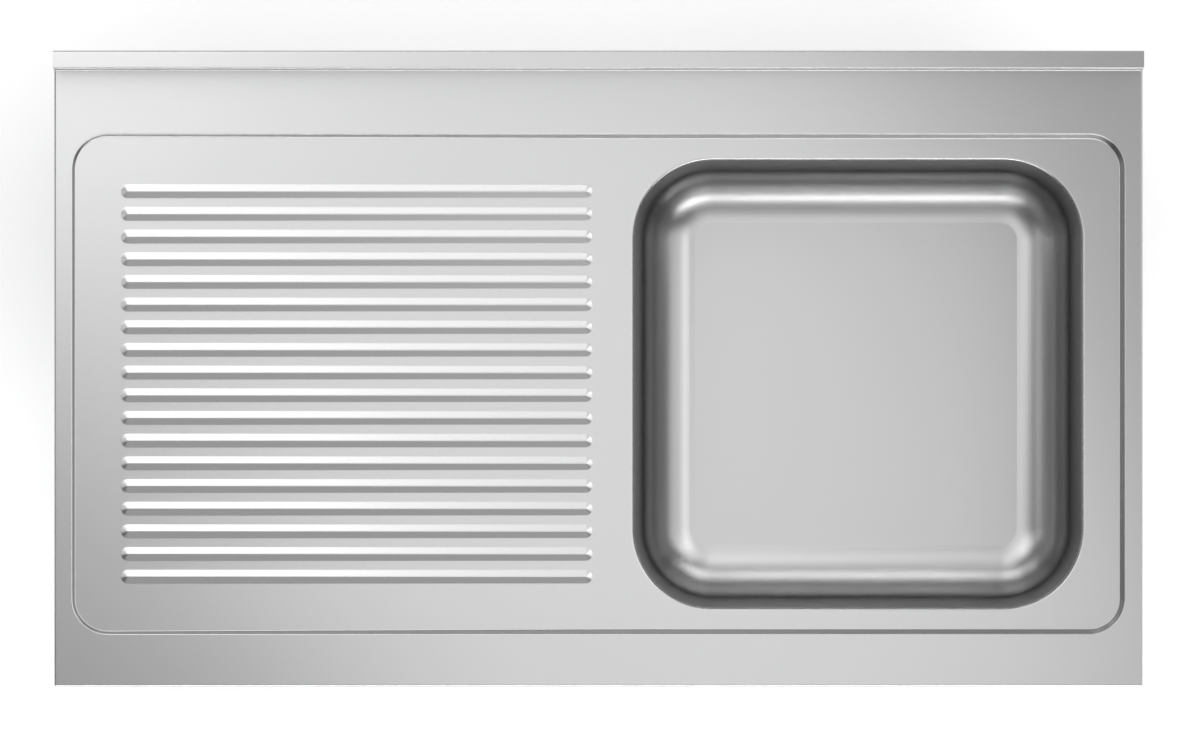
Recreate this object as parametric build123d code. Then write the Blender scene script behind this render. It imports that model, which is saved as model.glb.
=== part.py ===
"""Stainless steel sink top with a ribbed drainer on the left and one drawn bowl on the right.

Millimetres, +Z up, +X to the right, +Y to the wall.  The origin is the centre of the four fixing
holes, on the underside of the corner brackets.
"""
from build123d import *
from math import atan2, cos, degrees, radians, tan
import os

# Whole top
top_length = 1200.0
top_depth = 700.0
sheet = 1.2
apron_height = 40.0
return_width = 15.0
bend_radius = 2.0

# Upstand along the wall
upstand_height = 100.0
upstand_thickness = 20.0
upstand_foot_radius = 1.5
upstand_lip = 15.0
cap_flange = 8.0
cap_clearance = 0.2

# Pressed recess inside the rim
rim_side = 19.0
rim_front = 57.0
rim_rear = 70.0
recess_corner = 40.0
recess_depth = 10.0
recess_depth_far_end = 5.0
recess_wall_angle = 60.0
recess_edge_radius = 3.0
recess_foot_radius = 3.0

# Bowl
bowl_length = 500.0
bowl_width = 500.0
bowl_corner = 90.0
bowl_depth = 250.0
bowl_draft = 3.0
bowl_floor_radius = 58.0
bowl_edge_radius = 3.0
bowl_sheet = 1.2
bowl_to_recess_end = 45.0
bowl_to_crease = 15.0
neck_height = 10.0

# Drainer ribs
rib_count = 18
rib_pitch = 25.0
rib_width = 16.0
rib_height = 2.0
rib_root = 0.5
rib_far_margin = 54.0
rib_crease_margin = 27.0
rib_end_facets = 6

# Hat-section stiffeners
rail_sheet = 1.5
rail_web = 26.0
rail_height = 20.0
rail_bend = 2.5
rim_rail_flange = 13.0
rail_end_gap = 5.0
cross_rail_flange = 15.0
cross_rail_end_margin = 16.0
cross_rail_far_margin = 30.0
cross_rail_crease_margin = 3.0
stud_radius = 2.5
stud_length = 12.0
stud_hole_clearance = 0.3
stud_thread_gap = 0.1
stud_end_margin = 15.0
nut_across_flats = 8.0
nut_height = 5.0

# Corner brackets
bracket_sheet = 3.0
bracket_leg = 75.0
bracket_nose = 20.0
bracket_flange = 26.0
bracket_bend = 3.0
fixing_inset = 45.0
fixing_hole_radius = 5.5

# Sound-deadening mats
mat_thickness = 2.0
mat_rail_gap = 10.0
mat_recess_margin = 50.0
bowl_mat_height = 120.0
bowl_mat_top_gap = 40.0
bowl_mat_length = 300.0
bowl_mat_floor_size = 300.0
bowl_mat_floor_hole_radius = 55.0

# Earth bonding point
earth_stud_radius = 3.0
earth_stud_length = 18.0
earth_washer_radius = 6.0
earth_washer_thickness = 1.6
earth_nut_across_flats = 10.0
earth_nut_height = 5.0
earth_hole_clearance = 0.2
earth_from_bowl_centre = 150.0

# Cutting: how far a cut runs past the face it opens, and how near two places are to be the same
cut_margin = 1.0
same_place = 0.01

# Levels
base_z = -sheet
rim_z = base_z + apron_height
surround_z = rim_z - recess_depth
weld_z = surround_z - neck_height
upstand_top_z = rim_z + upstand_height

# Plan positions
side_x = top_length / 2
front_y = -top_depth / 2
wall_y = top_depth / 2
upstand_y = wall_y - upstand_thickness
recess_left = -side_x + rim_side
recess_right = side_x - rim_side
recess_front = front_y + rim_front
recess_rear = upstand_y - rim_rear
recess_centre_x = (recess_left + recess_right) / 2
recess_centre_y = (recess_front + recess_rear) / 2
recess_wall_run = recess_depth / tan(radians(recess_wall_angle))
bowl_x = recess_right - bowl_to_recess_end - bowl_length / 2
bowl_y = recess_centre_y
crease_x = bowl_x - bowl_length / 2 - bowl_to_crease
drainer_slope = degrees(atan2(recess_depth - recess_depth_far_end, crease_x - recess_left))

# The rounded edge of the bowl takes this much of the bowl wall's run into the surround
bowl_edge_tangent = bowl_edge_radius * tan(radians((90 - bowl_draft) / 2))


def drainer_place(x, y, drop=0.0):
    """A place on the sloping drainer, or a distance below it, with Z square to the drainer."""
    along = (x - crease_x) / cos(radians(drainer_slope))
    return Location((crease_x, y, surround_z), (0, drainer_slope, 0)) * Pos(along, 0, -drop)


def span(x0, x1, y0, y1, z0, z1):
    """A block between two corners."""
    return Pos((x0 + x1) / 2, (y0 + y1) / 2, (z0 + z1) / 2) * Box(x1 - x0, y1 - y0, z1 - z0)


def same(one, other):
    return abs(one - other) < same_place


def edges_at(solid, z, x0, x1, y0, y1):
    """The level edges of a solid that lie at one height inside a plan rectangle."""
    inside = []
    for edge in solid.edges():
        box = edge.bounding_box()
        level = same(box.min.Z, z) and same(box.max.Z, z)
        within_x = box.min.X > x0 - same_place and box.max.X < x1 + same_place
        within_y = box.min.Y > y0 - same_place and box.max.Y < y1 + same_place
        if level and within_x and within_y:
            inside.append(edge)
    return inside


def recess_void(below):
    """What the press pushes down: tapered walls, a level surround and the sloping drainer.

    below is the distance from the visible face: nothing for the top of the sheet, the sheet for
    its underside.
    """
    half_wall = radians(recess_wall_angle / 2)
    grow = (below - recess_edge_radius) * tan(half_wall)
    length = recess_right - recess_left + 2 * grow
    width = recess_rear - recess_front + 2 * grow
    top = Pos(recess_centre_x, recess_centre_y, rim_z - below) * RectangleRounded(
        length, width, recess_corner + grow)
    walls = extrude(top, recess_depth + cut_margin, dir=(0, 0, -1), taper=90 - recess_wall_angle)
    floor_z = surround_z - below
    far_z = floor_z + (crease_x + side_x) * tan(radians(drainer_slope))
    section = Polyline((-side_x, far_z), (crease_x, floor_z), (side_x, floor_z), (side_x, rim_z),
                       (-side_x, rim_z), close=True)
    above_floor = extrude(Plane.XZ * make_face(section), top_depth / 2, both=True)
    return walls & above_floor


def bowl_void(outward):
    """The space inside the bowl, or the bowl's outside when outward is its sheet."""
    grow = outward / cos(radians(bowl_draft)) - bowl_edge_tangent
    outline = RectangleRounded(bowl_length + 2 * grow, bowl_width + 2 * grow, bowl_corner + grow)
    top = Pos(bowl_x, bowl_y, surround_z) * outline
    void = extrude(top, bowl_depth + outward, dir=(0, 0, -1), taper=bowl_draft)
    floor_edges = void.faces().sort_by(Axis.Z)[0].edges()
    return fillet(floor_edges, bowl_floor_radius + outward)


def drainer_rib():
    """One pressed rib: a low roof that runs out in faceted half cones, rooted in the drainer."""
    half = rib_width / 2
    straight = (crease_x - rib_crease_margin) - (recess_left + rib_far_margin) - rib_width
    roof = Polyline((-half, 0), (0, rib_height), (half, 0), (half, -rib_root), (-half, -rib_root),
                    close=True)
    rib = extrude(Plane.YZ * make_face(roof), straight / 2, both=True)
    outline = RegularPolygon(half, 2 * rib_end_facets)
    run_out = loft([outline.face(), Vertex(0, 0, rib_height)]) + extrude(outline, -rib_root)
    for end in (-1, 1):
        rib += Pos(end * straight / 2, 0, 0) * run_out
    return rib


def round_recess(solid):
    """Rounds the foot and the upper edge of the recess walls.  The crease stays sharp."""
    foot_edges = []
    for edge in solid.edges():
        box = edge.bounding_box()
        on_floor = box.min.Z > surround_z - same_place and box.max.Z < rim_z - recess_depth_far_end / 2
        if on_floor and not same(edge.center().X, crease_x):
            foot_edges.append(edge)
    solid = fillet(foot_edges, recess_foot_radius)
    rim_edges = edges_at(solid, rim_z, recess_left, recess_right, recess_front, recess_rear)
    return fillet(rim_edges, recess_edge_radius)


def press_top(solid, below):
    """Presses the recess, the ribs and the bowl opening into the top of a solid block."""
    pressed = solid - recess_void(below)
    if not below:
        pressed = round_recess(pressed)
    rib = drainer_rib()
    rib_x = (recess_left + rib_far_margin + crease_x - rib_crease_margin) / 2
    first_y = recess_centre_y - rib_pitch * (rib_count - 1) / 2
    ribs = [drainer_place(rib_x, first_y + rib_pitch * i, below) * rib for i in range(rib_count)]
    pressed = pressed + ribs
    pressed = pressed - bowl_void(below)
    neck_edges = edges_at(pressed, surround_z - below, bowl_x - bowl_length / 2, bowl_x + bowl_length / 2,
                          bowl_y - bowl_width / 2, bowl_y + bowl_width / 2)
    return fillet(neck_edges, bowl_edge_radius - below)


def folded_block(below):
    """The outside of the folded tray and upstand, or the space that the sheet folds around."""
    front = span(-side_x + below, side_x - below, front_y + below, upstand_y, base_z + below, rim_z - below)
    if not below:
        folds = [edge for edge in front.edges() if edge.bounding_box().min.Y < upstand_y - same_place]
        front = fillet(folds, bend_radius)
    front = press_top(front, below)
    foot = upstand_foot_radius + below
    corner = Pos(foot / 2, -foot / 2) * Rectangle(foot, foot) - Circle(foot)
    strip_place = Plane((0, upstand_y - upstand_foot_radius, rim_z + upstand_foot_radius),
                        x_dir=(0, 1, 0), z_dir=(1, 0, 0))
    strip = extrude(strip_place * corner, side_x - sheet, both=True)
    upstand_low = rim_z - sheet - cut_margin if below else rim_z - sheet
    upstand = span(-side_x + sheet, side_x - sheet, upstand_y + below, wall_y - below, upstand_low,
                   upstand_top_z - below)
    top_folds = edges_at(upstand, upstand_top_z - below, -side_x, side_x, upstand_y, wall_y)
    long_folds = [edge for edge in top_folds if edge.length > top_length / 2]
    upstand = fillet(long_folds, bend_radius - below)
    behind = span(-side_x + below, side_x - below, upstand_y, wall_y + below, base_z - below, rim_z - below)
    return front + behind + upstand + strip


def make_top_sheet():
    """Rim, recess, ribs, bowl neck, aprons with their returns, and upstand, from one sheet."""
    top = folded_block(0) - folded_block(sheet)
    window = span(-side_x + return_width, side_x - return_width, front_y + return_width, wall_y,
                  base_z - cut_margin, base_z + sheet + cut_margin)
    open_back = span(-side_x + sheet, side_x - sheet, wall_y - 2 * sheet, wall_y + cut_margin,
                     base_z - cut_margin, upstand_top_z - upstand_lip)
    below_neck = span(bowl_x - bowl_length / 2 - sheet, bowl_x + bowl_length / 2 + sheet,
                      bowl_y - bowl_width / 2 - sheet, bowl_y + bowl_width / 2 + sheet,
                      base_z - cut_margin, weld_z)
    return top - window - open_back - below_neck


def make_bowl():
    """The drawn bowl, cut level where it is butt-welded to the neck of the top."""
    shell = bowl_void(bowl_sheet) - bowl_void(0)
    above_weld = span(bowl_x - bowl_length / 2, bowl_x + bowl_length / 2, bowl_y - bowl_width / 2,
                      bowl_y + bowl_width / 2, weld_z, rim_z)
    return shell - above_weld


def make_end_cap(side):
    """The plate welded into one end of the upstand, with two flanges inside the fold."""
    outer_x = side * side_x
    inner_x = side * (side_x - sheet)
    flange_x = side * (side_x - sheet - cap_flange)
    low_x, high_x = sorted((outer_x, inner_x))
    plate = span(low_x, high_x, upstand_y, wall_y, rim_z, upstand_top_z)
    corners = [edge for edge in plate.edges() if same(edge.center().Z, upstand_top_z)
               and edge.length < 2 * sheet]
    plate = fillet(corners, bend_radius)
    low_x, high_x = sorted((inner_x, flange_x))
    fold_y = upstand_y + sheet + cap_clearance
    back_y = wall_y - 2 * sheet - cap_clearance
    top_z = upstand_top_z - sheet - cap_clearance
    full = span(low_x, high_x, fold_y, back_y, rim_z + upstand_foot_radius, top_z)
    fold = [edge for edge in full.edges() if same(edge.center().Z, top_z) and same(edge.center().Y, fold_y)]
    full = fillet(fold, bend_radius - sheet)
    hollow = span(low_x - cut_margin, high_x + cut_margin, fold_y + sheet, back_y + cut_margin, rim_z,
                  top_z - sheet)
    return plate + (full - hollow)


def make_rear_panel():
    """An angle that closes the back of the upstand and of the apron."""
    half = side_x - sheet - cap_clearance
    face_y = wall_y - sheet
    panel_top = upstand_top_z - upstand_lip / 2
    outer = span(-half, half, face_y - return_width, face_y, base_z, panel_top)
    inner = span(-half, half, face_y - return_width - cut_margin, face_y - sheet, base_z + sheet,
                 panel_top + cut_margin)
    outer_fold = edges_at(outer, base_z, -half, half, face_y, face_y)
    inner_fold = edges_at(inner, base_z + sheet, -half, half, face_y - sheet, face_y - sheet)
    return fillet(outer_fold, bend_radius) - fillet(inner_fold, bend_radius - sheet)


def make_corner_bracket(side, end):
    """A pressed corner plate on the apron returns.  side is -1 or 1 in X, end is -1 or 1 in Y."""
    plate = make_face(Polyline((0, 0), (bracket_leg, 0), (bracket_leg, bracket_nose),
                               (bracket_nose, bracket_leg), (0, bracket_leg), close=True))
    relief = bracket_bend + bend_radius
    bracket = extrude(plate, bracket_sheet)
    bracket += span(relief, bracket_leg, 0, bracket_sheet, 0, bracket_flange)
    bracket += span(0, bracket_sheet, relief, bracket_leg, 0, bracket_flange)
    bracket -= span(0, relief, 0, relief, 0, bracket_sheet)
    bends = [edge for edge in edges_at(bracket, 0, 0, bracket_leg, 0, bracket_leg)
             if same(edge.center().X, 0) or same(edge.center().Y, 0)]
    bracket = fillet(bends, bracket_bend)
    back_y = wall_y - 2 * sheet if end > 0 else -front_y - sheet
    corner_x = side_x - sheet
    hole_x = corner_x - (side_x - fixing_inset)
    hole_y = back_y - (top_depth / 2 - fixing_inset)
    bracket -= Pos(hole_x, hole_y, bracket_sheet / 2) * Cylinder(fixing_hole_radius, 2 * bracket_sheet)
    if side > 0:
        bracket = mirror(bracket, Plane.YZ)
    if end > 0:
        bracket = mirror(bracket, Plane.XZ)
    return Pos(side * corner_x, end * back_y, 0) * bracket


def hat_rail(length, flange):
    """A hat section along X, seated on Z = 0 and hanging below it."""
    width = rail_web + 2 * flange
    inner_height = rail_height - rail_sheet
    section = Pos(0, -rail_sheet / 2) * Rectangle(width, rail_sheet)
    section += Pos(0, -rail_height / 2) * Rectangle(rail_web, rail_height)
    section -= Pos(0, -inner_height / 2) * Rectangle(rail_web - 2 * rail_sheet, inner_height)
    for x, z in ((rail_web / 2, -rail_height), (rail_web / 2 - rail_sheet, 0)):
        corners = [point for point in section.vertices() if same(abs(point.X), x) and same(point.Y, z)]
        section = fillet(corners, rail_bend)
    return extrude(Plane.YZ * section, length / 2, both=True)


def make_cross_rail(place, length):
    """A rail held by a stud and a nut at each end, on opposite flanges, each in its place."""
    rail = hat_rail(length, cross_rail_flange)
    nut = extrude(RegularPolygon(nut_across_flats / 2, 6, major_radius=False), -nut_height)
    nut -= Cylinder(stud_radius + stud_thread_gap, 2 * nut_height + cut_margin)
    studs = []
    nuts = []
    for end in (-1, 1):
        x = end * (length / 2 - stud_end_margin)
        y = end * (rail_web + cross_rail_flange) / 2
        rail -= Pos(x, y, 0) * Cylinder(stud_radius + stud_hole_clearance, 2 * rail_sheet + cut_margin)
        studs.append(place * Pos(x, y, -stud_length / 2) * Cylinder(stud_radius, stud_length))
        nuts.append(place * Pos(x, y, -rail_sheet) * nut)
    return place * rail, studs, nuts


def make_drainer_mat(x, length):
    """A mat under the drainer, between two cross rails."""
    width = recess_rear - recess_front - 2 * mat_recess_margin
    mat = extrude(Rectangle(length, width), -mat_thickness)
    return drainer_place(x, recess_centre_y, sheet) * mat


def make_bowl_wall_mat(turn):
    """A mat on one outer wall of the bowl: turn is 0 right, 90 rear, 180 left, 270 front."""
    opening = bowl_length if turn in (0, 180) else bowl_width
    face = opening / 2 - bowl_edge_tangent + bowl_sheet / cos(radians(bowl_draft))
    wall = Pos(bowl_x, bowl_y, surround_z) * Rot(0, 0, turn) * Pos(face, 0, 0) * Rot(0, bowl_draft, 0)
    mat = extrude(Plane.YZ * Rectangle(bowl_mat_length, bowl_mat_height), mat_thickness)
    return wall * Pos(0, 0, -bowl_mat_top_gap - bowl_mat_height / 2) * mat


def make_bowl_floor_mat():
    """The mat under the bowl, open in the middle where a waste would be cut."""
    mat = Rectangle(bowl_mat_floor_size, bowl_mat_floor_size) - Circle(bowl_mat_floor_hole_radius)
    return Pos(bowl_x, bowl_y, surround_z - bowl_depth - bowl_sheet) * extrude(mat, -mat_thickness)


def make_earth_point():
    """The bonding stud under the surround on the right of the bowl, with washer and nut."""
    strip_x = (bowl_x + bowl_length / 2 + recess_right - recess_wall_run) / 2
    place = Pos(strip_x, bowl_y + earth_from_bowl_centre, surround_z - sheet)
    stud = Pos(0, 0, -earth_stud_length / 2) * Cylinder(earth_stud_radius, earth_stud_length)
    bore = Cylinder(earth_stud_radius + earth_hole_clearance, 2 * earth_stud_length)
    washer = Pos(0, 0, -earth_washer_thickness / 2) * Cylinder(earth_washer_radius, earth_washer_thickness)
    hexagon = RegularPolygon(earth_nut_across_flats / 2, 6, major_radius=False)
    nut = Pos(0, 0, -earth_washer_thickness) * extrude(hexagon, -earth_nut_height)
    return place * stud, place * (washer - bore), place * (nut - bore)


def build():
    """Every sub-part by its name."""
    nodes = {"top_sheet": make_top_sheet(), "bowl": make_bowl(), "rear_panel": make_rear_panel()}
    for side, name in ((-1, "left"), (1, "right")):
        nodes["upstand_end_cap_" + name] = make_end_cap(side)
        nodes["corner_bracket_front_" + name] = make_corner_bracket(side, -1)
        nodes["corner_bracket_rear_" + name] = make_corner_bracket(side, 1)

    rim_rail_length = 2 * (side_x - sheet - bracket_leg - rail_end_gap)
    front_rail_y = (front_y + sheet + recess_front) / 2
    rear_rail_y = (recess_rear + upstand_y) / 2
    for name, y in (("front_rail", front_rail_y), ("rear_rail", rear_rail_y)):
        nodes[name] = Pos(0, y, rim_z - sheet) * hat_rail(rim_rail_length, rim_rail_flange)

    studs = []
    nuts = []
    cross_length = recess_rear - recess_front - 2 * cross_rail_end_margin
    rail_half = rail_web / 2 + cross_rail_flange
    rail_far_x = recess_left + cross_rail_far_margin + rail_half
    rail_near_x = crease_x - cross_rail_crease_margin - rail_half
    rail_xs = (rail_far_x, (rail_far_x + rail_near_x) / 2, rail_near_x)
    for name, x in zip(("left", "middle", "bowl_side"), rail_xs):
        place = drainer_place(x, recess_centre_y, sheet) * Rot(0, 0, 90)
        rail, rail_studs, rail_nuts = make_cross_rail(place, cross_length)
        nodes["drainer_rail_" + name] = rail
        studs += rail_studs
        nuts += rail_nuts
    nodes["rail_studs"] = Compound(children=studs)
    nodes["rail_nuts"] = Compound(children=nuts)

    bay = rail_xs[1] - rail_xs[0]
    mat_length = bay - 2 * rail_half - 2 * mat_rail_gap
    nodes["drainer_mat_left"] = make_drainer_mat((rail_xs[0] + rail_xs[1]) / 2, mat_length)
    nodes["drainer_mat_right"] = make_drainer_mat((rail_xs[1] + rail_xs[2]) / 2, mat_length)
    for turn, name in ((0, "right"), (90, "rear"), (180, "left"), (270, "front")):
        nodes["bowl_mat_" + name] = make_bowl_wall_mat(turn)
    nodes["bowl_mat_floor"] = make_bowl_floor_mat()
    nodes["earth_stud"], nodes["earth_washer"], nodes["earth_nut"] = make_earth_point()
    return nodes


os.makedirs("parts", exist_ok=True)
for node, solid in build().items():
    export_step(solid, "parts/" + node + ".step")
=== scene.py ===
import math
import bmesh
import bpy
from mathutils import Matrix, Vector
from mathutils.geometry import delaunay_2d_cdt


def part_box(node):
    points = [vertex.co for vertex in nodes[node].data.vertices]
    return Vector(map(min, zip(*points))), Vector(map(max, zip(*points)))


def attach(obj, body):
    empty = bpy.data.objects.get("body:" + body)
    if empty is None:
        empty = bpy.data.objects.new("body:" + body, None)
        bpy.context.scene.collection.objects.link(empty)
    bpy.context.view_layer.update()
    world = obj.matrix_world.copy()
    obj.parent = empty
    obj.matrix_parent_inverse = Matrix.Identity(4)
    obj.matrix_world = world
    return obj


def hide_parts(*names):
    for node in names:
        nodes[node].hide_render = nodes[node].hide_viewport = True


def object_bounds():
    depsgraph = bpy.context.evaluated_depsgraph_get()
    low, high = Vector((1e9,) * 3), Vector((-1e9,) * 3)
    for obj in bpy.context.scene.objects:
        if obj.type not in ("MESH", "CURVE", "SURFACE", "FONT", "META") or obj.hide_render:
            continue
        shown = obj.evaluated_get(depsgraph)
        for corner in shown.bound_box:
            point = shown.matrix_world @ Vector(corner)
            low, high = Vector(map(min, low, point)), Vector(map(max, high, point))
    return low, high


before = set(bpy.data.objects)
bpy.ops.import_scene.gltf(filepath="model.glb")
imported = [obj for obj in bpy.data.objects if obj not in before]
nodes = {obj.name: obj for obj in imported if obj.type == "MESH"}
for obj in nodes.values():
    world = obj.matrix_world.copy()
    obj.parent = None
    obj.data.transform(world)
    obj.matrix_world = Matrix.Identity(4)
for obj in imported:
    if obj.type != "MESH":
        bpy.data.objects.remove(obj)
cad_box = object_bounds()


# ---------------------------------------------------------------------------------------------
# Satin steel
# Rolled stainless sheet with a fine satin grain along the length of the top.  The grain only
# changes how much a reflection is softened, so it shows as faint streaks from close by.
# ---------------------------------------------------------------------------------------------
satin_colour = (0.57, 0.57, 0.573, 1.0)
satin_edge = (0.6, 0.6, 0.6, 1.0)
satin_roughness = 0.25
streak_scale = 900.0
streak_roughness = 0.01
along_the_top = (0.04, 1.0, 1.0)
patch_scale = 5.0
patch_roughness = 0.005
even = (1.0, 1.0, 1.0)
noise_low, noise_high = 0.3, 0.7


def new_material(name, colour, roughness, metallic):
    material = bpy.data.materials.new(name)
    material.use_nodes = True
    shader = material.node_tree.nodes["Principled BSDF"]
    shader.inputs["Base Color"].default_value = colour
    shader.inputs["Roughness"].default_value = roughness
    shader.inputs["Metallic"].default_value = metallic
    return material, material.node_tree, shader


def stretched_noise(tree, scale, stretch, detail):
    """Noise on the object's own coordinates, drawn out by a stretch along each axis."""
    place = tree.nodes.new("ShaderNodeTexCoord")
    mapping = tree.nodes.new("ShaderNodeMapping")
    mapping.inputs["Scale"].default_value = stretch
    noise = tree.nodes.new("ShaderNodeTexNoise")
    noise.inputs["Scale"].default_value = scale
    noise.inputs["Detail"].default_value = detail
    tree.links.new(place.outputs["Object"], mapping.inputs["Vector"])
    tree.links.new(mapping.outputs["Vector"], noise.inputs["Vector"])
    return noise


def spread(tree, source, low, high):
    """Maps the middle range of a noise to a range of values."""
    node = tree.nodes.new("ShaderNodeMapRange")
    node.inputs["From Min"].default_value = noise_low
    node.inputs["From Max"].default_value = noise_high
    node.inputs["To Min"].default_value = low
    node.inputs["To Max"].default_value = high
    tree.links.new(source, node.inputs["Value"])
    return node.outputs["Result"]


def make_satin_steel(name, roughness, edge, stretch):
    """Steel a little duller in streaks and patches, with a given tint towards the edge; a dark tint
    there paints shade on faces seen edge-on.
    """
    material, tree, shader = new_material(name, satin_colour, roughness, metallic=1.0)
    shader.inputs["Specular Tint"].default_value = edge
    grain = stretched_noise(tree, streak_scale, stretch, detail=3.0)
    cloud = stretched_noise(tree, patch_scale, even, detail=4.0)
    streaks = spread(tree, grain.outputs["Fac"], roughness - streak_roughness,
                     roughness + streak_roughness)
    patches = spread(tree, cloud.outputs["Fac"], -patch_roughness, patch_roughness)
    total = tree.nodes.new("ShaderNodeMath")
    tree.links.new(streaks, total.inputs[0])
    tree.links.new(patches, total.inputs[1])
    tree.links.new(total.outputs[0], shader.inputs["Roughness"])
    return material


satin_steel = make_satin_steel("satin_steel", satin_roughness, satin_edge, along_the_top)


# ---------------------------------------------------------------------------------------------
# Pressed top
# One stainless sheet, 1.2 mm thick: a plain rim, a recess pressed 5 to 10 mm deep with its ribs
# and the neck for the bowl, folded down into aprons and up along the wall into a boxed upstand.
# ---------------------------------------------------------------------------------------------
mm = 0.001
sheet = 1.2 * mm
apron_height = 40 * mm
return_width = 15 * mm
fold_radius = 2 * mm
upstand_thickness = 20 * mm
upstand_foot_radius = 1.5 * mm
upstand_lip = 15 * mm

rim_side = 19 * mm
rim_front = 57 * mm
rim_rear = 70 * mm
recess_corner = 40 * mm
recess_depth = 10 * mm
recess_depth_far_end = 5 * mm
recess_wall_angle = math.radians(64)
recess_edge_radius = 1.5 * mm
recess_foot_radius = 1.2 * mm

bowl_size = 500 * mm
bowl_corner = 90 * mm
bowl_draft = math.radians(3)
bowl_edge_radius = 3 * mm
bowl_to_recess_end = 45 * mm
bowl_to_crease = 15 * mm
neck_height = 10 * mm

rib_count = 18
rib_pitch = 25 * mm
rib_half_width = 8 * mm
rib_height = 2 * mm
rib_rounding = 0.5 * mm
rib_far_margin = 54 * mm
rib_crease_margin = 27 * mm

weld = 0.002 * mm
same_place_digits = 7
inside_outline = 1
snap = 1e-7
corner_steps = 24
fold_steps = 6
quarter_turns = [math.pi / 2 * step / fold_steps for step in range(fold_steps + 1)]
settling_rounds = 4
top_crease_angle = math.radians(30)

top_low, top_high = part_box("top_sheet")
base_z = top_low.z
rim_z = base_z + apron_height
surround_z = rim_z - recess_depth
side_x = top_high.x
front_y = top_low.y
wall_y = top_high.y
upstand_y = wall_y - upstand_thickness
foot_y = upstand_y - upstand_foot_radius
recess_left, recess_right = -side_x + rim_side, side_x - rim_side
recess_front, recess_rear = front_y + rim_front, upstand_y - rim_rear
bowl_x = recess_right - bowl_to_recess_end - bowl_size / 2
bowl_y = (recess_front + recess_rear) / 2
crease_x = bowl_x - bowl_size / 2 - bowl_to_crease
drainer_slope = (recess_depth - recess_depth_far_end) / (crease_x - recess_left)
rib_length = (crease_x - rib_crease_margin) - (recess_left + rib_far_margin)
rib_x = (crease_x - rib_crease_margin + recess_left + rib_far_margin) / 2
first_rib_y = bowl_y - rib_pitch * (rib_count - 1) / 2


def floor_height(x):
    """The height of the recess floor: level by the bowl, rising to the far end on the drainer."""
    return surround_z + drainer_slope * max(0.0, crease_x - x)


def rounded_loop(low, high, radius):
    """Points and outward directions round a rectangle with arc corners, anticlockwise."""
    loop = []
    centres = ((high[0] - radius, high[1] - radius), (low[0] + radius, high[1] - radius),
               (low[0] + radius, low[1] + radius), (high[0] - radius, low[1] + radius))
    for quarter, centre in enumerate(centres):
        for step in range(corner_steps + 1):
            turn = math.pi / 2 * (quarter + step / corner_steps)
            outward = Vector((math.cos(turn), math.sin(turn)))
            loop.append((Vector(centre) + outward * radius, outward))
    return loop


def add_ring(mesh, points):
    return [mesh.verts.new(point) for point in points]


def join_rings(mesh, rings, closed=True):
    """Faces between rings of equal length, one after the other."""
    for near, far in zip(rings, rings[1:]):
        count = len(near)
        for i in range(count if closed else count - 1):
            j = (i + 1) % count
            corners = [near[i], near[j], far[j], far[i]]
            places = {tuple(round(c, same_place_digits) for c in v.co) for v in corners}
            if len(places) > 2:
                mesh.faces.new(corners)


def fill_flat(mesh, outline, holes, height, extra_edges=()):
    """Triangles inside an outline and outside its holes, each point set at its height."""
    points = []
    faces = []
    for ring in [outline] + holes:
        faces.append(list(range(len(points), len(points) + len(ring))))
        points += [Vector(point[:2]) for point in ring]
    edges = []
    for start, end in extra_edges:
        ends = [min(range(len(points)), key=lambda i: (points[i] - Vector(place)).length)
                for place in (start, end)]
        edges.append(ends)
    found, _, triangles, _, _, inside = delaunay_2d_cdt(points, edges, faces, inside_outline,
                                                        snap, True)
    verts = [mesh.verts.new((point.x, point.y, height(point.x))) for point in found]
    for triangle, parents in zip(triangles, inside):
        if list(parents) == [0]:
            mesh.faces.new([verts[i] for i in triangle])


def finish_sheet(name, mesh, material):
    """Welds the rings of a pressed sheet and turns its faces to the side that shows."""
    bmesh.ops.remove_doubles(mesh, verts=mesh.verts, dist=weld)
    bmesh.ops.dissolve_degenerate(mesh, edges=mesh.edges, dist=weld / 4)
    bmesh.ops.recalc_face_normals(mesh, faces=mesh.faces)
    largest = max(mesh.faces, key=lambda face: face.calc_area() * abs(face.normal.z))
    if largest.normal.z < 0:
        bmesh.ops.reverse_faces(mesh, faces=mesh.faces)
    data = bpy.data.meshes.new(name)
    mesh.to_mesh(data)
    mesh.free()
    data.materials.append(material)
    piece = bpy.data.objects.new(name, data)
    bpy.context.scene.collection.objects.link(piece)
    return piece


def mark_sharp_edges(piece, angle):
    """Marks the edges that are sharper than an angle."""
    mesh = bmesh.new()
    mesh.from_mesh(piece.data)
    for edge in mesh.edges:
        edge.smooth = len(edge.link_faces) == 2 and edge.calc_face_angle(0) < angle
    mesh.to_mesh(piece.data)
    mesh.free()


def add_wall(piece, crease_angle):
    """Smooth shading with true flats, and the sheet's thickness behind the visible side."""
    wall = piece.modifiers.new("wall", "SOLIDIFY")
    wall.thickness = sheet
    wall.offset = -1
    wall.use_even_offset = True
    wall.use_quality_normals = True
    piece.data.shade_smooth()
    mark_sharp_edges(piece, crease_angle)
    flats = piece.modifiers.new("flats", "WEIGHTED_NORMAL")
    flats.keep_sharp = True


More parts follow.
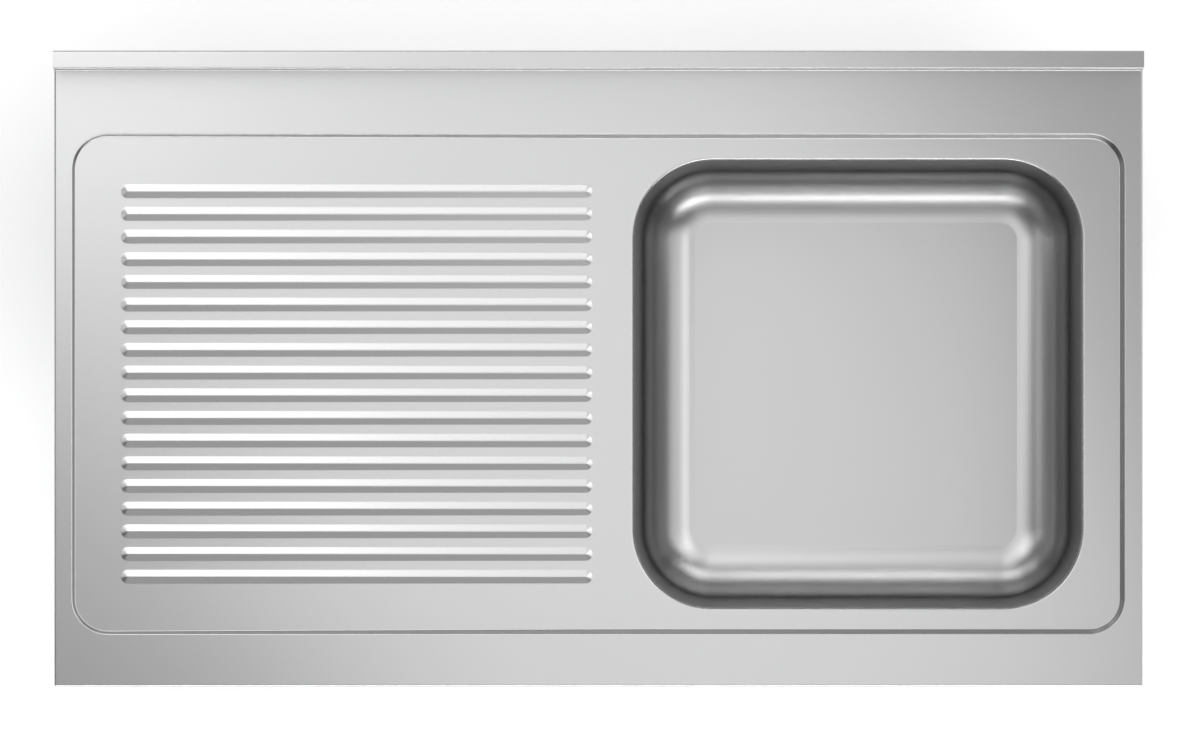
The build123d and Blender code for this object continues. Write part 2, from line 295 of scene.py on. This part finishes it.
def outer_fold(mesh):
    """The folded front and sides: rim edge, apron, lower fold and return.  Beside the upstand the
    return stops and the apron runs on to the wall as a plain plate."""
    rim_bend = [(fold_radius * (1 - math.sin(a)), rim_z - fold_radius * (1 - math.cos(a)))
                for a in quarter_turns]
    lower_bend = [(fold_radius * (1 - math.cos(a)), base_z + fold_radius * (1 - math.sin(a)))
                  for a in quarter_turns]
    path = [(-1, None, y) for y in (upstand_y, foot_y)]
    for side, start in ((-1, math.pi), (1, 1.5 * math.pi)):
        path += [(side, start + a, None) for a in quarter_turns]
    path += [(1, None, y) for y in (foot_y, upstand_y)]
    rings = []
    for inward, z in rim_bend + lower_bend + [(return_width, base_z)]:
        reach = max(fold_radius - inward, 0)
        past = max(inward - fold_radius, 0)
        ring = []
        for side, turn, y in path:
            if turn is None:
                ring.append((side * (side_x - inward), y, z))
                continue
            x = side * (side_x - fold_radius - past) + reach * math.cos(turn)
            ring.append((x, front_y + fold_radius + past + reach * math.sin(turn), z))
        rings.append(add_ring(mesh, ring))
    join_rings(mesh, rings, closed=False)
    plate = rim_bend + [(0, base_z + fold_radius), (0, base_z)]
    for side in (-1, 1):
        join_rings(mesh, [add_ring(mesh, [(side * (side_x - inward), y, z) for inward, z in plate])
                          for y in (upstand_y, wall_y)], closed=False)


def upstand(mesh):
    """The boxed upstand along the wall: rounded foot, top and turned-down lip."""
    top = top_high.z
    profile = [(foot_y + upstand_foot_radius * math.sin(a),
                rim_z + upstand_foot_radius * (1 - math.cos(a))) for a in quarter_turns]
    profile += [(upstand_y + fold_radius * (1 - math.cos(a)), top - fold_radius * (1 - math.sin(a)))
                for a in quarter_turns]
    profile += [(wall_y - fold_radius * (1 - math.sin(a)), top - fold_radius * (1 - math.cos(a)))
                for a in quarter_turns]
    profile.append((wall_y, top - upstand_lip))
    ends = (sheet - side_x, fold_radius - side_x, side_x - fold_radius, side_x - sheet)
    join_rings(mesh, [add_ring(mesh, [(x, y, z) for x in ends]) for y, z in profile], closed=False)


def recess_step(depth):
    """Across the recess wall, as (inward, down): rounded edge, sloping wall, rounded foot."""
    turns = [recess_wall_angle * step / fold_steps for step in range(fold_steps + 1)]
    both_radii = recess_edge_radius + recess_foot_radius
    drop = 1 - math.cos(recess_wall_angle)
    straight = (depth - both_radii * drop) / math.tan(recess_wall_angle)
    run = both_radii * math.sin(recess_wall_angle) + straight
    edge = [(recess_edge_radius * math.sin(a), recess_edge_radius * (1 - math.cos(a)))
            for a in turns]
    foot = [(run - recess_foot_radius * math.sin(a), depth - recess_foot_radius * (1 - math.cos(a)))
            for a in reversed(turns)]
    return edge + foot


def recess_wall(mesh):
    """The sloping wall round the recess.  Returns its upper and lower rings."""
    loop = rounded_loop((recess_left, recess_front), (recess_right, recess_rear), recess_corner)
    rear_break = corner_steps + 1
    loop.insert(rear_break, (Vector((crease_x, recess_rear)), Vector((0, 1))))
    front_break = 3 * (corner_steps + 1) + 1
    loop.insert(front_break, (Vector((crease_x, recess_front)), Vector((0, -1))))
    columns = []
    for place, outward in loop:
        depth = recess_depth
        for _ in range(settling_rounds):
            run = recess_step(depth)[-1][0]
            depth = rim_z - floor_height(place.x - outward.x * run)
        step = recess_step(depth)
        columns.append([(*(place - outward * inward), rim_z - down) for inward, down in step])
    rings = [add_ring(mesh, ring) for ring in zip(*columns)]
    join_rings(mesh, rings)
    return [v.co.copy() for v in rings[0]], [v.co.copy() for v in rings[-1]]


def neck_profile():
    """Down the neck, as (inward, down): the rounded edge of the bowl opening, then its wall."""
    turn = math.pi / 2 - bowl_draft
    turns = [turn * step / fold_steps for step in range(fold_steps + 1)]
    arc = [(bowl_edge_radius * math.sin(a), bowl_edge_radius * (1 - math.cos(a))) for a in turns]
    inward, down = arc[-1]
    return arc + [(inward + (neck_height - down) * math.tan(bowl_draft), neck_height)]


def bowl_ring(mesh, inward, z):
    """A ring round the bowl, at a distance in from the edge of its opening."""
    half = bowl_size / 2 - inward
    loop = rounded_loop((bowl_x - half, bowl_y - half), (bowl_x + half, bowl_y + half),
                        bowl_corner - inward)
    return add_ring(mesh, [(*place, z) for place, _ in loop])


def bowl_neck(mesh):
    """The short neck that the bowl is welded to.  Returns its upper ring."""
    rings = [bowl_ring(mesh, inward, surround_z - down) for inward, down in neck_profile()]
    join_rings(mesh, rings)
    return [v.co.copy() for v in rings[0]]


def rib_ring(distance):
    """The plan of a rib at one distance from its ridge: two straight sides and two half circles."""
    loop = []
    half_ridge = rib_length / 2 - rib_half_width
    for end, start in ((1, -math.pi / 2), (-1, math.pi / 2)):
        for step in range(corner_steps // 2 + 1):
            turn = start + 2 * math.pi * step / corner_steps
            loop.append(Vector((end * half_ridge + distance * math.cos(turn),
                                distance * math.sin(turn))))
    return loop


def rib_profile():
    """Up a rib's side, as (distance from the ridge, height), eased at the foot and the ridge."""
    ease = rib_rounding
    rise = rib_height / rib_half_width * ease
    crest = rib_height - 1.25 * rise
    return [(rib_half_width, 0), (rib_half_width - ease, rise / 4),
            (rib_half_width - 2 * ease, rise), (2 * ease, crest - rise),
            (ease, crest - rise / 4), (0, crest)]


def make_one_rib():
    """One rib on its own, about the middle of its foot, to be repeated down the drainer."""
    mesh = bmesh.new()
    rings = [add_ring(mesh, [(p.x, p.y, z) for p in rib_ring(d)]) for d, z in rib_profile()]
    join_rings(mesh, rings)
    bmesh.ops.remove_doubles(mesh, verts=mesh.verts, dist=weld)
    data = bpy.data.meshes.new("one_rib")
    mesh.to_mesh(data)
    mesh.free()
    rib = bpy.data.objects.new("one_rib", data)
    bpy.context.scene.collection.objects.link(rib)
    return rib


def repeat_tree():
    """Repeats the mesh it is given along a row: how many, how far apart, and of what material."""
    tree = bpy.data.node_groups.new("repeat_in_a_row", "GeometryNodeTree")
    sockets = {}
    for name, kind in (("Geometry", "NodeSocketGeometry"), ("Count", "NodeSocketInt"),
                       ("First", "NodeSocketVector"), ("Pitch", "NodeSocketVector"),
                       ("Material", "NodeSocketMaterial")):
        sockets[name] = tree.interface.new_socket(name, in_out="INPUT", socket_type=kind).identifier
    tree.interface.new_socket("Geometry", in_out="OUTPUT", socket_type="NodeSocketGeometry")
    given = tree.nodes.new("NodeGroupInput")
    result = tree.nodes.new("NodeGroupOutput")
    line = tree.nodes.new("GeometryNodeMeshLine")
    copies = tree.nodes.new("GeometryNodeInstanceOnPoints")
    realize = tree.nodes.new("GeometryNodeRealizeInstances")
    paint = tree.nodes.new("GeometryNodeSetMaterial")
    link = tree.links.new
    link(given.outputs["Count"], line.inputs["Count"])
    link(given.outputs["First"], line.inputs["Start Location"])
    link(given.outputs["Pitch"], line.inputs["Offset"])
    link(line.outputs["Mesh"], copies.inputs["Points"])
    link(given.outputs["Geometry"], copies.inputs["Instance"])
    link(copies.outputs["Instances"], realize.inputs["Geometry"])
    link(realize.outputs["Geometry"], paint.inputs["Geometry"])
    link(given.outputs["Material"], paint.inputs["Material"])
    link(paint.outputs["Geometry"], result.inputs["Geometry"])
    return tree, sockets


row_tree, row_inputs = repeat_tree()


def repeated(piece, count, first, pitch, material):
    """The plain mesh of a piece repeated in a row.  The piece itself is removed."""
    modifier = piece.modifiers.new("row", "NODES")
    modifier.node_group = row_tree
    values = {"Count": count, "First": first, "Pitch": pitch, "Material": material}
    for name, value in values.items():
        modifier[row_inputs[name]] = value
    evaluated = piece.evaluated_get(bpy.context.evaluated_depsgraph_get())
    data = bpy.data.meshes.new_from_object(evaluated)
    bpy.data.objects.remove(piece)
    return data


def add_ribs(mesh):
    """All the ribs in their row, each point lifted on to the sloping floor."""
    ribs = repeated(make_one_rib(), rib_count, (rib_x, first_rib_y, 0), (0, rib_pitch, 0),
                    satin_steel)
    for vertex in ribs.vertices:
        vertex.co.z += floor_height(vertex.co.x)
    mesh.from_mesh(ribs)


def rib_feet():
    """The outline of each rib's foot, where the floor between the ribs stops."""
    return [[(rib_x + p.x, first_rib_y + rib_pitch * i + p.y) for p in rib_ring(rib_half_width)]
            for i in range(rib_count)]


def make_top():
    mesh = bmesh.new()
    outer_fold(mesh)
    upstand(mesh)
    recess_edge, recess_foot = recess_wall(mesh)
    opening = bowl_neck(mesh)
    add_ribs(mesh)
    inner_x, inner_y = side_x - fold_radius, front_y + fold_radius
    rim = [(-inner_x, foot_y), (-inner_x, inner_y), (inner_x, inner_y), (inner_x, foot_y)]
    fill_flat(mesh, rim, [recess_edge], lambda x: rim_z)
    crease_ends = [min(recess_foot, key=lambda p: abs(p.x - crease_x) + abs(p.y - y))[:2]
                   for y in (recess_front, recess_rear)]
    fill_flat(mesh, recess_foot, [opening] + rib_feet(), floor_height, [crease_ends])
    return finish_sheet("pressed_top", mesh, satin_steel)


pressed_top = make_top()
add_wall(pressed_top, top_crease_angle)
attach(pressed_top, "root")
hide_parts("top_sheet")


# ---------------------------------------------------------------------------------------------
# Bowl
# Deep-drawn from one stainless sheet: walls with 3 degrees of draft, large corners that tighten
# towards the flat floor, and a wide floor radius.  It is butt-welded to the neck, ground flush.
# ---------------------------------------------------------------------------------------------
bowl_floor_radius = 61.4 * mm
floor_kink = math.radians(3)
bowl_depth = 250 * mm
arc_steps = 28
bowl_crease_angle = math.radians(2.5)
drawn_roughness = 0.3
# Edge tint far below the steel's own colour: the bowl's walls, seen edge-on from above, reflect
# darker, which is painted shade.
painted_wall_shade_tint = (0.3, 0.3, 0.3, 1.0)


def bowl_profile():
    """Down the bowl, as (inward, down): the wall from the weld, then the floor radius."""
    neck_in, neck_down = neck_profile()[-1]
    turn = math.pi / 2 - bowl_draft
    arc_drop = bowl_floor_radius * (math.cos(floor_kink) - math.cos(turn))
    wall_down = bowl_depth - arc_drop
    wall_in = neck_in + (wall_down - neck_down) * math.tan(bowl_draft)
    steps = [(neck_in, neck_down)]
    for step in range(arc_steps + 1):
        angle = turn + (floor_kink - turn) * step / arc_steps
        steps.append((wall_in + bowl_floor_radius * (math.sin(turn) - math.sin(angle)),
                      wall_down + bowl_floor_radius * (math.cos(angle) - math.cos(turn))))
    return steps


# The bowl's steel: rougher than the top, with the dark edge tint that paints shade on its walls.
shaded_drawn_steel = make_satin_steel("shaded_drawn_steel", drawn_roughness, painted_wall_shade_tint, even)


def make_bowl():
    mesh = bmesh.new()
    rings = [bowl_ring(mesh, inward, surround_z - down) for inward, down in bowl_profile()]
    join_rings(mesh, rings)
    bottom_z = surround_z - bowl_depth
    fill_flat(mesh, [v.co.copy() for v in rings[-1]], [], lambda x: bottom_z)
    return finish_sheet("drawn_bowl", mesh, shaded_drawn_steel)


drawn_bowl = make_bowl()
add_wall(drawn_bowl, bowl_crease_angle)
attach(drawn_bowl, "root")
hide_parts("bowl")


# ---------------------------------------------------------------------------------------------
# Upstand end caps and rear panel
# Flat plates of stainless sheet: each satin cap is welded into an end of the upstand, and the
# rear panel, left as it comes from the mill, closes the back of the upstand and of the apron.
# ---------------------------------------------------------------------------------------------
mill_colour = (0.55, 0.55, 0.555, 1.0)


def give_material(node, material):
    """Puts one material in every slot of a carried-over piece."""
    data = nodes[node].data
    if not data.materials:
        data.materials.append(material)
    for slot in range(len(data.materials)):
        data.materials[slot] = material


for side in ("left", "right"):
    give_material("upstand_end_cap_" + side, satin_steel)


def cloud_roughness(tree, shader, scale, detail, low, high):
    """Lets a finish be duller in some patches than in others."""
    cloud = stretched_noise(tree, scale, even, detail)
    tree.links.new(spread(tree, cloud.outputs["Fac"], low, high), shader.inputs["Roughness"])


def make_mill_steel():
    material, tree, shader = new_material("mill_steel", mill_colour, roughness=0.38, metallic=1.0)
    cloud_roughness(tree, shader, scale=8.0, detail=4.0, low=0.34, high=0.42)
    return material


give_material("rear_panel", make_mill_steel())


# ---------------------------------------------------------------------------------------------
# Galvanised stiffeners and corner brackets
# Hat-section rails and pressed corner plates of steel with a spangled coat of zinc.  The cross
# rails hang on studs; the front and rear rails and the plates are spot-welded to the sheet.
# ---------------------------------------------------------------------------------------------
zinc_colour = (0.55, 0.57, 0.585, 1.0)
dark_spangle = (0.46, 0.48, 0.5, 1.0)
pale_spangle = (0.63, 0.65, 0.66, 1.0)
spangle_scale = 140.0


def make_galvanised():
    material, tree, shader = new_material("galvanised_steel", zinc_colour, roughness=0.42,
                                          metallic=0.9)
    place = tree.nodes.new("ShaderNodeTexCoord")
    spangle = tree.nodes.new("ShaderNodeTexVoronoi")
    spangle.inputs["Scale"].default_value = spangle_scale
    tree.links.new(place.outputs["Object"], spangle.inputs["Vector"])
    tones = tree.nodes.new("ShaderNodeValToRGB")
    tones.color_ramp.elements[0].color = dark_spangle
    tones.color_ramp.elements[1].color = pale_spangle
    tree.links.new(spangle.outputs["Color"], tones.inputs["Fac"])
    tree.links.new(tones.outputs["Color"], shader.inputs["Base Color"])
    cloud_roughness(tree, shader, scale=30.0, detail=3.0, low=0.34, high=0.52)
    return material


galvanised_steel = make_galvanised()
for node in nodes:
    if node.startswith(("corner_bracket", "drainer_rail")) or node.endswith("_rail"):
        give_material(node, galvanised_steel)


# ---------------------------------------------------------------------------------------------
# Sound-deadening mats
# Bitumen sheet 2 mm thick, stuck to the underside of the drainer and to the outside of the bowl:
# near black, matt, with a faint pebbled face.
# ---------------------------------------------------------------------------------------------
bitumen_colour = (0.035, 0.035, 0.037, 1.0)
pebble_scale = 450.0
pebble_depth = 0.3 * mm


def add_bump(tree, shader, height, distance, strength):
    bump = tree.nodes.new("ShaderNodeBump")
    bump.inputs["Distance"].default_value = distance
    bump.inputs["Strength"].default_value = strength
    tree.links.new(height, bump.inputs["Height"])
    tree.links.new(bump.outputs["Normal"], shader.inputs["Normal"])


def make_bitumen():
    material, tree, shader = new_material("bitumen_mat", bitumen_colour, roughness=0.75,
                                          metallic=0.0)
    pebble = stretched_noise(tree, pebble_scale, even, detail=2.0)
    cloud_roughness(tree, shader, scale=25.0, detail=4.0, low=0.62, high=0.85)
    add_bump(tree, shader, pebble.outputs["Fac"], pebble_depth, strength=0.5)
    return material


bitumen = make_bitumen()
for node in nodes:
    if "mat" in node:
        give_material(node, bitumen)


# ---------------------------------------------------------------------------------------------
# Studs, nuts and washer
# Weld studs and hexagon nuts of bright zinc-plated steel hold the cross rails; a longer stud with
# a washer and nut beside the bowl takes the bonding wire.
# ---------------------------------------------------------------------------------------------
plated_colour = (0.66, 0.66, 0.63, 1.0)


def make_plated():
    material, tree, shader = new_material("bright_zinc_plate", plated_colour, roughness=0.3,
                                          metallic=1.0)
    cloud_roughness(tree, shader, scale=400.0, detail=3.0, low=0.24, high=0.4)
    return material


bright_zinc = make_plated()
for node in ("rail_studs", "rail_nuts", "earth_stud", "earth_washer", "earth_nut"):
    give_material(node, bright_zinc)


# ---------------------------------------------------------------------------------------------
# Floor
# A wide white floor under the bowl.  It glows a little towards the camera and in the steel, so
# that it shows white where it lies open and keeps the soft shadow round the sink.
# ---------------------------------------------------------------------------------------------
floor_gap = 1 * mm
floor_z = cad_box[0][2] - floor_gap
floor_width = 60.0
floor_colour = (0.9, 0.9, 0.9, 1.0)
floor_glow = 0.45
white = (1.0, 1.0, 1.0, 1.0)


def make_floor():
    mesh = bmesh.new()
    bmesh.ops.create_grid(mesh, x_segments=1, y_segments=1, size=floor_width / 2)
    bmesh.ops.transform(mesh, matrix=Matrix.Translation((0, 0, floor_z)), verts=mesh.verts)
    data = bpy.data.meshes.new("studio_floor")
    mesh.to_mesh(data)
    mesh.free()
    material, tree, shader = new_material("studio_floor", floor_colour, roughness=0.9,
                                          metallic=0.0)
    ray = tree.nodes.new("ShaderNodeLightPath")
    shown = ray.outputs["Is Camera Ray"]
    for kind in ("Is Glossy Ray", "Is Transmission Ray"):
        either = tree.nodes.new("ShaderNodeMath")
        either.operation = "MAXIMUM"
        tree.links.new(shown, either.inputs[0])
        tree.links.new(ray.outputs[kind], either.inputs[1])
        shown = either.outputs[0]
    glow = tree.nodes.new("ShaderNodeMath")
    glow.operation = "MULTIPLY"
    glow.inputs[1].default_value = floor_glow
    tree.links.new(shown, glow.inputs[0])
    tree.links.new(glow.outputs[0], shader.inputs["Emission Strength"])
    shader.inputs["Emission Color"].default_value = white
    data.materials.append(material)
    floor = bpy.data.objects.new("studio_floor", data)
    bpy.context.scene.collection.objects.link(floor)
    return floor


make_floor()


# ---------------------------------------------------------------------------------------------
# Lights
# Soft panels in a plain studio, each facing the middle of the sink.  The ceiling and near ones
# shade the flats, the far ones are seen in the bowl's walls and the ribs, and the low walls of
# light are seen in the top when it is looked at from the side.
# ---------------------------------------------------------------------------------------------
sink_middle = Vector((0, 0, rim_z))
studio_dim = 0.12


def softbox(name, place, width, height, brightness):
    """A rectangular panel that shines evenly with a brightness at which 1 is white."""
    lamp = bpy.data.lights.new(name, "AREA")
    lamp.shape = "RECTANGLE"
    lamp.size = width
    lamp.size_y = height
    lamp.energy = brightness * math.pi * width * height
    panel = bpy.data.objects.new(name, lamp)
    panel.location = place
    panel.rotation_euler = (sink_middle - Vector(place)).to_track_quat("-Z", "Y").to_euler()
    panel.visible_camera = False
    bpy.context.scene.collection.objects.link(panel)


softbox("ceiling_wide", (0.0, 0.1, 2.2), 2.4, 1.9, 0.35)
softbox("ceiling_middle", (0.05, -0.1, 2.0), 0.95, 1.3, 0.75)
softbox("ceiling_left", (-0.8, 0.7, 2.0), 1.0, 1.1, 1.3)
softbox("near_left", (-1.06, 0.0, 1.0), 0.6, 0.4, 0.9)
softbox("near_rear", (-0.3, 1.15, 1.6), 1.2, 0.75, 0.9)
softbox("near_front", (0.35, -1.8, 0.8), 3.4, 0.42, 6.0)
softbox("far_right", (9.5, 1.5, 10.0), 9.0, 9.0, 0.8)
softbox("far_right_high", (5.8, 1.0, 12.5), 7.0, 3.0, 1.4)
softbox("far_rear_right", (6.4, 6.4, 10.0), 6.0, 6.0, 1.2)
softbox("far_rear", (0.0, 8.6, 11.0), 7.0, 9.0, 0.7)
softbox("far_front", (0.6, -7.2, 12.0), 9.0, 5.0, 0.4)
softbox("far_front_low", (1.0, -12.5, 6.0), 14.0, 8.0, 0.8)
softbox("wall_left", (-14.0, 0.0, 2.6), 22.0, 4.0, 0.5)
softbox("wall_right", (14.0, 0.0, 2.6), 22.0, 4.0, 0.5)
softbox("wall_rear", (0.0, 14.0, 3.2), 22.0, 5.0, 0.6)

world = bpy.data.worlds.new("studio")
world.use_nodes = True
world.node_tree.nodes["Background"].inputs["Color"].default_value = white
world.node_tree.nodes["Background"].inputs["Strength"].default_value = studio_dim
bpy.context.scene.world = world


# ---------------------------------------------------------------------------------------------
# Camera
# Straight above the top at a long focal length, so that the bowl's floor sits in the middle of
# its opening and the upstand leans out by only a hair.
# ---------------------------------------------------------------------------------------------
camera_height = 33.6
camera_x = 1.7 * mm
camera_y = -3.3 * mm
pixels_per_metre = 907.0
picture_width = 1200
clip_near, clip_far = 1.0, 100.0

camera_data = bpy.data.cameras.new("overhead")
camera_data.lens = camera_data.sensor_width * camera_height * pixels_per_metre / picture_width
camera_data.clip_start = clip_near
camera_data.clip_end = clip_far
camera = bpy.data.objects.new("overhead", camera_data)
camera.location = (camera_x, camera_y, rim_z + camera_height)
bpy.context.scene.collection.objects.link(camera)
bpy.context.scene.camera = camera

bpy.context.scene.view_settings.view_transform = "Standard"
